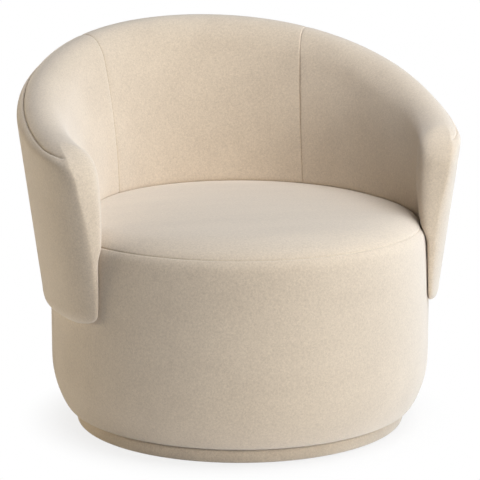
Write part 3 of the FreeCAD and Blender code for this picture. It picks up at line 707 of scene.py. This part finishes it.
# %% [markdown]
# The cuts stand on planes that face the axis at the back. Towards the arms' ends the planes swing to the
# front and lean back a little, so that the arms end in a narrow upright face. Two inner seams divide the
# inside into a middle and two sides; they draw together towards the top, and the grid's columns with them.

# %% Back cushion: columns
LEAN_FOOT = 345.0
SEAM_ANGLE, SEAM_DRAW, SEAM_DRAW_Z, SEAM_REACH = 41.0, 0.0238, 487.0, 16.0
# columns by their angle from the middle of the back: they crowd at the seam, then run evenly to the arm's end
BACK_COLUMNS = (0, 2, 4.2, 6.5, 9, 11.5, 14, 16.5, 19, 21.5, 24, 26.5, 29, 31.3, 33.4, 35.3, 37, 38.4, 39.4,
                40.1, 40.5, 40.75, 40.9, SEAM_ANGLE, 41.1, 41.25, 41.5, 41.9, 42.6, 43.6, 45, 46.7)
ARM_START, ARM_COLUMNS = 48.5, 44


def placed(angles, cut):
    size = np.radians(np.abs(angles))
    side = np.where(angles < 0, -1.0, 1.0)
    past = np.clip((np.minimum(np.abs(angles), ARM_END) - TURN_START) / (ARM_END - TURN_START), 0, 1)
    share = past ** TURN_EASE
    turn = math.radians(ARM_TURN) * share
    lean = -share * math.tan(math.radians(ARM_LEAN)) * np.maximum(0.0, cut[:, 1] - LEAN_FOOT)
    reach = (cut[:, 0] - DRUM_R) / np.cos(turn) - lean * np.tan(turn)
    heading = size - turn
    x = DRUM_R * np.sin(size) + reach * np.sin(heading) + lean * np.cos(heading)
    y = DRUM_R * np.cos(size) + reach * np.cos(heading) - lean * np.sin(heading)
    return np.stack([side * x, y, cut[:, 1]], 1)


def column_angles():
    half = [*BACK_COLUMNS, *np.linspace(ARM_START, ARM_END, ARM_COLUMNS)]
    return [-a for a in half[:0:-1]] + half


seam_cut = cut_at(np.full(CUT_POINTS, SEAM_ANGLE))[:, 1]
top_row = int(np.argmax(seam_cut))
seam_rise = np.where(np.arange(CUT_POINTS) < top_row, seam_cut, seam_cut[top_row])


def back_column(angle):
    near = max(0.0, 1 - ((abs(angle) - SEAM_ANGLE) / SEAM_REACH) ** 2) ** 2
    angles = abs(angle) - near * SEAM_DRAW * (seam_rise - SEAM_DRAW_Z)
    return placed(np.where(angle < 0, -angles, angles), cut_at(angles))


# %% [markdown]
# Each arm ends in a rounded nose. Rings of points draw the cut's two walls together while moving forwards.
# The outer wall comes round in a quarter of an ellipse and the inner one turns more squarely, so the front is
# a broad soft face. The two meet near the outer wall at the top and nearer to the drum at the foot. At the
# top the nose draws back, so the roll runs down over the arm's end in one long curve.

# %% Back cushion: the arms' noses
NOSE_RINGS = 14
OUTER_POWER, INNER_POWER = 2.0, 3.6
NOSE_TOP_ROUND, NOSE_FOOT_ROUND = 56.0, 24.0
NOSE_HEIGHTS = (290.0, 380.0, 470.0)
NOSE_ANGLES, NOSE_MEETING = (119.8, 119.7, 120.0), (0.42, 0.60, 0.76)


def nose_rings(side):
    cut = cuts[-1]
    partner = cut[::-1]
    middle_z = (cut[:, 1] + partner[:, 1]) / 2
    top = rim_height(ARM_END)
    below_top = np.clip((top - middle_z) / NOSE_TOP_ROUND, 0, 1)
    above_foot = np.clip((middle_z - SHELL_FOOT_Z) / NOSE_FOOT_ROUND, 0, 1)
    forward = np.sqrt(1 - (1 - below_top) ** 2) * np.sqrt(1 - (1 - above_foot) ** 2)
    front = np.interp(middle_z, NOSE_HEIGHTS, NOSE_ANGLES) - ARM_END
    inner_share = np.interp(middle_z, NOSE_HEIGHTS, NOSE_MEETING)
    fall = rim_height(ARM_END - 1) - top
    fall = fall * np.clip((middle_z - NOSE_HEIGHTS[1]) / (top - NOSE_HEIGHTS[1]), 0, 1)
    row = np.arange(CUT_POINTS)
    meeting = np.where(row < CUT_POINTS // 2, inner_share, 1 - inner_share)[:, None]
    meeting[CUT_POINTS // 2] = 0.0
    rings = []
    power = np.where(row < CUT_POINTS // 2, INNER_POWER, OUTER_POWER)
    for turn in np.linspace(0, math.pi / 2, NOSE_RINGS + 1)[1:]:
        drawn = (1 - max(0.0, math.cos(turn)) ** (2 / power))[:, None] * meeting
        ahead = math.sin(turn) ** (2 / power)
        angles = ARM_END + front * ahead * forward
        ring = cut + (partner - cut) * drawn
        ring[:, 1] -= fall * (angles - ARM_END)
        rings.append(placed(side * angles, ring))
    return rings


columns = [back_column(a) for a in column_angles()]
columns = nose_rings(-1)[::-1] + columns + nose_rings(1)
print("back grid:", len(columns), "columns of", CUT_POINTS)


# %% Back cushion: faces
def back_faces(count):
    number = np.arange(count * CUT_POINTS).reshape(count, CUT_POINTS)
    for end in (0, count - 1):
        for row in range(CUT_POINTS // 2):
            number[end, CUT_POINTS - 1 - row] = number[end, row]
    number[:NOSE_RINGS, CUT_POINTS // 2] = number[NOSE_RINGS, CUT_POINTS // 2]
    number[-NOSE_RINGS:, CUT_POINTS // 2] = number[-NOSE_RINGS - 1, CUT_POINTS // 2]
    faces = []
    for c in range(count - 1):
        for r in range(CUT_POINTS):
            following = (r + 1) % CUT_POINTS
            quad = (number[c, r], number[c + 1, r], number[c + 1, following], number[c, following])
            corners = list(dict.fromkeys(int(k) for k in quad))
            if len(corners) > 2:
                faces.append(tuple(corners))
    return faces, number


faces, number = back_faces(len(columns))
used = np.unique(number)
renumber = np.full(number.size, -1)
renumber[used] = np.arange(len(used))
faces = [tuple(int(renumber[k]) for k in face) for face in faces]
points = (np.concatenate(columns) * MM)[used]
rows = np.tile(np.arange(CUT_POINTS), len(columns))[used]
angles = np.array([-ARM_END] * NOSE_RINGS + column_angles() + [ARM_END] * NOSE_RINGS)
angles = np.repeat(angles, CUT_POINTS)[used]
nose_share = np.abs(np.arange(len(columns)) - (len(columns) - 1) / 2) - (len(columns) - 1) / 2 + NOSE_RINGS
nose_share = np.repeat(np.clip(nose_share / NOSE_RINGS, 0, 1), CUT_POINTS)[used]
print("back cushion:", len(points), "points,", len(faces), "faces")

# %% [markdown]
# The seams are kept as distances on the grid's points, so that they survive the subdivision: how far a
# point is from an upright seam, and how far along the cut it is from the seam under the roll.

# %% Back cushion: piece
lengths = np.linalg.norm(np.diff(cuts, axis=1), axis=2)
along = np.concatenate([np.zeros((len(cuts), 1)), np.cumsum(lengths, 1)], 1)
along = along - along[:, RIM_ROW:RIM_ROW + 1]
upright_gap = np.radians(np.abs(angles) - SEAM_ANGLE) * np.hypot(points[:, 0], points[:, 1])
rim_gap = along[np.round(np.abs(angles) / CUT_STEP).astype(int), rows] * MM

NOSE_HELD, ON_SEAM = 0.5, 1e-6
BACK_PRESSURE, BACK_CAP = 1.5, 0.003
held = np.zeros(len(points))
held[(rows < STARTS["inside"]) | (rows >= STARTS["edge"])] = 1.0
held[(rows == RIM_ROW) & (nose_share < NOSE_HELD)] = 1.0
held[(np.abs(upright_gap) < ON_SEAM) & (rows >= STARTS["inside"])] = 1.0
back = mesh_object("back_upholstery", points, faces, cloth)
keep_values(back.data, "upright_gap", upright_gap)
keep_values(back.data, "rim_gap", rim_gap)
keep_values(back.data, "nose_share", nose_share)
puffed(back, held, BACK_PRESSURE, BACK_CAP)
subdivide(back)

# %% Back cushion: seams
UPRIGHT_SEAM = ((0.0012, 0.0016), (0.007, 0.0006))
RIM_SEAM = ((0.0018, 0.0022), (0.013, 0.0028))
NOSE_FADE, NOSE_FAINT = 0.35, 0.1
points, normals = point_array(back.data), normal_array(back.data)
upright_gap, rim_gap = kept_values(back.data, "upright_gap"), kept_values(back.data, "rim_gap")
fade = np.clip((1 - kept_values(back.data, "nose_share")) / NOSE_FADE, NOSE_FAINT, 1)
push = dips(upright_gap, UPRIGHT_SEAM) + fade * dips(rim_gap, RIM_SEAM)
set_points(back.data, points + normals * push[:, None])
for name in ("upright_gap", "rim_gap", "nose_share"):
    back.data.attributes.remove(back.data.attributes[name])
print("back seams: dip", round(float(-push.min()) / MM, 1), "mm")

# %% [markdown]
# ## The plinth's wrap
# The plinth is a board with the same cloth pulled over its edge and stapled underneath. The wrap is a turned
# shell: round at the upper and lower corner, and a hair fuller in between, where the cloth springs off.

# %% Plinth wrap
PLINTH_R, PLINTH_LOW, PLINTH_HIGH, PLINTH_TURN_IN = 305.0, 1.5, 25.0, 20.0
WRAP_THICK, WRAP_ROUND, WRAP_FULL = 2.0, 5.0, 0.8
CORNER_STEPS, SIDE_STEPS, RING_SIDES = 6, 6, 220


def plinth_profile():
    inner = PLINTH_R - PLINTH_TURN_IN
    corner = np.linspace(0, math.pi / 2, CORNER_STEPS)
    middle = PLINTH_R - WRAP_ROUND
    profile = [(inner, PLINTH_LOW)]
    low, high = PLINTH_LOW + WRAP_ROUND, PLINTH_HIGH - WRAP_ROUND
    profile += [(middle + WRAP_ROUND * math.sin(t), low - WRAP_ROUND * math.cos(t)) for t in corner]
    for share in np.linspace(0, 1, SIDE_STEPS)[1:-1]:
        profile.append((PLINTH_R + 4 * WRAP_FULL * share * (1 - share), low + (high - low) * share))
    profile += [(middle + WRAP_ROUND * math.cos(t), high + WRAP_ROUND * math.sin(t)) for t in corner]
    profile.append((inner, PLINTH_HIGH))
    board = PLINTH_R - WRAP_THICK
    profile += [(inner, PLINTH_HIGH - WRAP_THICK), (board, PLINTH_HIGH - WRAP_THICK),
                (board, PLINTH_LOW + WRAP_THICK), (inner, PLINTH_LOW + WRAP_THICK)]
    return profile


points, faces = turned_ring(plinth_profile(), RING_SIDES)
plinth_wrap = mesh_object("plinth_wrap", points, faces, plinth_cloth)
print("plinth wrap:", len(points), "points")

# %% [markdown]
# ## Boards, plates and springs
# The frame's rigid nodes keep their shapes and only need their finishes. Plywood shows its grain and plies,
# the bent board is fine grey-brown fibre, steel is zinc-bright or dark spring wire, plastics are moulded.

# %% Finishes of the frame
FINE_GRAIN, FINE_SHARE = 9, 0.35
WOOD_ROUGHNESS, WOOD_BUMP = (0.55, 0.75), (0.12, 0.0006)
STEEL_BUMP = (0.05, 0.0003)
MOULD_SCALE, MOULD_ROUGHNESS, MOULD_BUMP = 900.0, (0.38, 0.52), (0.10, 0.0003)


def wood_material(name, pale, deep, stretch, ring_scale):
    material, nodes, links, surface, place = new_material(name)
    grain = noise(nodes, links, place, ring_scale, detail=4.0, stretch=stretch)
    fine = noise(nodes, links, place, ring_scale * FINE_GRAIN, detail=2.0, stretch=stretch)
    tone = blended(nodes, links, grain, fine, FINE_SHARE)
    stops = ((0.32, deep), (0.68, pale))
    finished(nodes, links, surface, tone, stops, fine, WOOD_ROUGHNESS, tone, WOOD_BUMP)
    return material


def metal_material(name, pale, deep, roughness, scale):
    material, nodes, links, surface, place = new_material(name)
    spangle = noise(nodes, links, place, scale, detail=3.0)
    stops = ((0.35, deep), (0.65, pale))
    finished(nodes, links, surface, spangle, stops, spangle, roughness, spangle, STEEL_BUMP)
    surface.inputs["Metallic"].default_value = 1.0
    return material


def plastic_material(name, pale, deep):
    material, nodes, links, surface, place = new_material(name)
    mould = noise(nodes, links, place, MOULD_SCALE, detail=2.0)
    stops = ((0.3, deep), (0.7, pale))
    finished(nodes, links, surface, mould, stops, mould, MOULD_ROUGHNESS, mould, MOULD_BUMP)
    return material


plywood = wood_material("birch_plywood", (0.62, 0.46, 0.28), (0.44, 0.30, 0.16), (1.0, 12.0, 40.0), 6.0)
bent_board = wood_material("bent_fibre_board", (0.36, 0.26, 0.17), (0.25, 0.17, 0.10), EVEN, 260.0)
zinc_steel = metal_material("zinc_steel", (0.68, 0.70, 0.72), (0.50, 0.52, 0.55), (0.28, 0.46), 160.0)
spring_steel = metal_material("spring_steel", (0.30, 0.29, 0.28), (0.18, 0.17, 0.17), (0.32, 0.50), 240.0)
glide_plastic = plastic_material("black_glide_plastic", (0.030, 0.030, 0.032), (0.018, 0.018, 0.020))
clip_plastic = plastic_material("white_clip_plastic", (0.72, 0.71, 0.68), (0.64, 0.63, 0.60))
# each finish with the starts of the names of the nodes that have it
FINISHES = (
    (plywood, ("plinth_board", "drum_base_board", "drum_former", "seat_ring", "back_mount_rail", "top_rail")),
    (bent_board, ("back_shell_board", "drum_wrap_board")),
    (zinc_steel, ("swivel", "lower_plate_screws", "upper_plate_screws", "back_bolts", "back_tee_nuts",
                  "bearing_balls", "ball_cage")),
    (spring_steel, ("seat_spring",)),
    (clip_plastic, ("spring_clips",)),
    (glide_plastic, ("centre_glide", "rim_glides")),
)
dressed = 0
for node_name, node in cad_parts.items():
    for finish, starts in FINISHES:
        if node_name.startswith(starts):
            node.data.materials.clear()
            node.data.materials.append(finish)
            dressed += 1
print("finished nodes:", dressed)

# %% [markdown]
# ## Felt over the springs
# A felt pad keeps the springs from cutting into the foam. It is a flat round pad of matted fibres, with a
# soft edge and a slightly uneven face.

# %% Felt pad
felt_low, felt_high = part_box("spring_felt")
FELT_R, FELT_LOW, FELT_HIGH = felt_high[0] / MM, felt_low[2] / MM, felt_high[2] / MM
FELT_EDGE, FELT_CORNER, FELT_DROP, FELT_CELLS = 1.6, 0.5, 0.6, 40
FELT_WAVE, FELT_WAVE_STEP = 0.25, 13.0
FELT_STOPS = ((0.3, (0.16, 0.16, 0.17)), (0.7, (0.34, 0.33, 0.32)))
FELT_ROUGHNESS, FELT_BUMP, CLUMP_SHARE = (0.9, 1.0), (0.5, 0.0010), 0.4
felt_cloth, nodes, links, surface, place = new_material("grey_felt")
hairs, clumps = noise(nodes, links, place, 420.0, detail=4.0), noise(nodes, links, place, 60.0, detail=3.0)
matted = blended(nodes, links, hairs, clumps, CLUMP_SHARE)
finished(nodes, links, surface, matted, FELT_STOPS, matted, FELT_ROUGHNESS, matted, FELT_BUMP)


def felt_top(r):
    return FELT_HIGH - FELT_WAVE * (1 - math.cos(r / FELT_WAVE_STEP))


felt_middle = (FELT_LOW + FELT_HIGH) / 2
felt_rows = [(FELT_R - FELT_CORNER, FELT_HIGH - FELT_DROP), (FELT_R, felt_middle),
             (FELT_R - FELT_CORNER, FELT_LOW + FELT_DROP)]
points, faces = round_pad(FELT_CELLS, FELT_R - FELT_EDGE, felt_top, felt_rows, FELT_R - FELT_EDGE, FELT_LOW)
felt_pad = mesh_object("felt_pad", points, faces, felt_cloth)
print("felt pad:", round(FELT_R * 2), "mm across")

# %% [markdown]
# ## Dust sheet
# A black non-woven sheet closes the plinth underneath, with round holes for the glides. It is drawn as a fine
# square grid: cells inside a hole or outside the rim go, and the grid's new edges are pulled on to the
# circles. Between the staples it puckers a little.

# %% Dust sheet
SHEET_R, SHEET_Z, SHEET_THICK = 284.7, 3.0, 0.5
SHEET_CELL, SHEET_MARGIN = 5.5, 0.3
PUCKER, PUCKER_START, PUCKER_EASE = 0.30, 200.0, 80.0
SHEET_STOPS = ((0.3, (0.012, 0.012, 0.013)), (0.7, (0.045, 0.044, 0.043)))
SHEET_ROUGHNESS, SHEET_BUMP, SHEET_LAY = (0.7, 0.9), (0.3, 0.0004), (1.0, 0.4, 1.0)
HOLE_R, HOLE_CIRCLE, HOLE_COUNT = 16.2, 262.0, 6
STAPLE_COUNT = 42
holes = [(0.0, 0.0)]
for i in range(HOLE_COUNT):
    turn = 2 * math.pi * i / HOLE_COUNT
    holes.append((HOLE_CIRCLE * math.sin(turn), HOLE_CIRCLE * math.cos(turn)))


def dust_sheet_grid():
    half = int(SHEET_R / SHEET_CELL) + 2
    ticks = np.arange(-half, half + 1) * SHEET_CELL
    x, y = (a.ravel() for a in np.meshgrid(ticks, ticks, indexing="ij"))
    wide = 2 * half + 1
    rims = [np.hypot(x - a, y - b) - HOLE_R for a, b in holes]
    margin = SHEET_MARGIN * SHEET_CELL
    inside = (np.hypot(x, y) < SHEET_R - margin) & (np.min(rims, 0) > margin)
    faces = []
    for i in range(wide - 1):
        for j in range(wide - 1):
            cell = (i * wide + j, (i + 1) * wide + j, (i + 1) * wide + j + 1, i * wide + j + 1)
            if inside[list(cell)].all():
                faces.append(cell)
    uses = np.bincount(np.array(faces).ravel(), minlength=len(x))
    for k in np.flatnonzero((uses > 0) & (uses < 4)):
        nearest = int(np.argmin([abs(SHEET_R - math.hypot(x[k], y[k]))] + [abs(rim[k]) for rim in rims]))
        a, b = (0.0, 0.0) if nearest == 0 else holes[nearest - 1]
        r = SHEET_R if nearest == 0 else HOLE_R
        away = math.hypot(x[k] - a, y[k] - b)
        x[k], y[k] = a + (x[k] - a) * r / away, b + (y[k] - b) * r / away
    used = np.flatnonzero(uses)
    renumber = np.full(len(x), -1)
    renumber[used] = np.arange(len(used))
    return np.stack([x, y], 1)[used], [tuple(int(renumber[k]) for k in face)[::-1] for face in faces]


flat_points, faces = dust_sheet_grid()
away, turn = np.hypot(flat_points[:, 0], flat_points[:, 1]), np.arctan2(flat_points[:, 1], flat_points[:, 0])
pucker = PUCKER * np.cos(STAPLE_COUNT * turn) * np.clip((away - PUCKER_START) / PUCKER_EASE, 0, 1) ** 2
points = np.column_stack([flat_points, SHEET_Z + pucker]) * MM
dust_cloth, nodes, links, surface, place = new_material("black_dust_sheet")
fibre = noise(nodes, links, place, 700.0, detail=3.0, stretch=SHEET_LAY)
finished(nodes, links, surface, fibre, SHEET_STOPS, fibre, SHEET_ROUGHNESS, fibre, SHEET_BUMP)
dust_sheet = mesh_object("dust_sheet", points, faces, dust_cloth)
thicken = dust_sheet.modifiers.new("thicken", "SOLIDIFY")
thicken.thickness = SHEET_THICK * MM
thicken.offset = 0.0
made_plain(dust_sheet)
print("dust sheet:", len(dust_sheet.data.vertices), "points")

# %% [markdown]
# ## Staples
# A ring of staples holds the dust sheet and the wrap's turned-in edge under the plinth. They repeat round a
# circle, so a small Geometry Nodes tree makes them: points on a circle, and one short flat bar on each,
# turned to follow the circle.

# %% Staples
STAPLE_SIZES = {"Circle": 0.2805, "Count": STAPLE_COUNT, "Length": 0.011, "Width": 0.0012, "Height": 0.0006,
                "Level": 0.0021}


def staple_tree(material):
    tree = bpy.data.node_groups.new("ring_of_staples", "GeometryNodeTree")
    for name in STAPLE_SIZES:
        kind = "NodeSocketInt" if name == "Count" else "NodeSocketFloat"
        tree.interface.new_socket(name, in_out="INPUT", socket_type=kind)
    tree.interface.new_socket("Geometry", in_out="OUTPUT", socket_type="NodeSocketGeometry")
    given = tree.nodes.new("NodeGroupInput")
    ring = tree.nodes.new("GeometryNodeMeshCircle")
    spot = tree.nodes.new("GeometryNodeSetPosition")
    lift = tree.nodes.new("ShaderNodeCombineXYZ")
    bar = tree.nodes.new("GeometryNodeMeshCube")
    size = tree.nodes.new("ShaderNodeCombineXYZ")
    place = tree.nodes.new("GeometryNodeInputPosition")
    follow = tree.nodes.new("FunctionNodeAlignEulerToVector")
    follow.axis = "Y"
    copies = tree.nodes.new("GeometryNodeInstanceOnPoints")
    real = tree.nodes.new("GeometryNodeRealizeInstances")
    finish = tree.nodes.new("GeometryNodeSetMaterial")
    finish.inputs["Material"].default_value = material
    out = tree.nodes.new("NodeGroupOutput")
    link = tree.links.new
    link(given.outputs["Count"], ring.inputs["Vertices"])
    link(given.outputs["Circle"], ring.inputs["Radius"])
    link(ring.outputs["Mesh"], spot.inputs["Geometry"])
    link(given.outputs["Level"], lift.inputs["Z"])
    link(lift.outputs["Vector"], spot.inputs["Offset"])
    for part, axis in (("Length", "X"), ("Width", "Y"), ("Height", "Z")):
        link(given.outputs[part], size.inputs[axis])
    link(size.outputs["Vector"], bar.inputs["Size"])
    link(place.outputs["Position"], follow.inputs["Vector"])
    link(spot.outputs["Geometry"], copies.inputs["Points"])
    link(bar.outputs["Mesh"], copies.inputs["Instance"])
    link(follow.outputs["Rotation"], copies.inputs["Rotation"])
    link(copies.outputs["Instances"], real.inputs["Geometry"])
    link(real.outputs["Geometry"], finish.inputs["Geometry"])
    link(finish.outputs["Geometry"], out.inputs["Geometry"])
    return tree


staples = bpy.data.objects.new("staples", bpy.data.meshes.new("staples"))
scene.collection.objects.link(staples)
ring_of_staples = staples.modifiers.new("ring", "NODES")
ring_of_staples.node_group = staple_tree(zinc_steel)
for item in ring_of_staples.node_group.interface.items_tree:
    if item.in_out == "INPUT":
        ring_of_staples[item.identifier] = STAPLE_SIZES[item.name]
made_plain(staples)
print("staples:", len(staples.data.vertices), "points")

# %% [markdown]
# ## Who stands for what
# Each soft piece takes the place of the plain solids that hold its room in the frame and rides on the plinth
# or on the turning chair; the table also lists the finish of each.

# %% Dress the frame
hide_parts("seat_top_cover", "seat_foam", "drum_side_cover", "drum_side_foam")
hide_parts("inside_cover_back", "inside_cover_left_arm", "inside_cover_right_arm", "inside_foam_back",
            "inside_foam_left_arm", "inside_foam_right_arm", "outside_cover", "outside_padding",
            "arm_front_pad_left", "arm_front_pad_right")
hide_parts("plinth_cover")
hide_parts("spring_felt")
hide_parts("plinth_dust_sheet")
RIDES = (
    (seat, "chair", "cover_fabric"),
    (back, "chair", "cover_fabric"),
    (felt_pad, "chair", "felt"),
    (plinth_wrap, "base", "cover_fabric"),
    (dust_sheet, "base", "dust_sheet"),
    (staples, "base", "zinc_steel"),
)
for piece, body, slot in RIDES:
    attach(piece, body)
print("pieces:", len(RIDES))
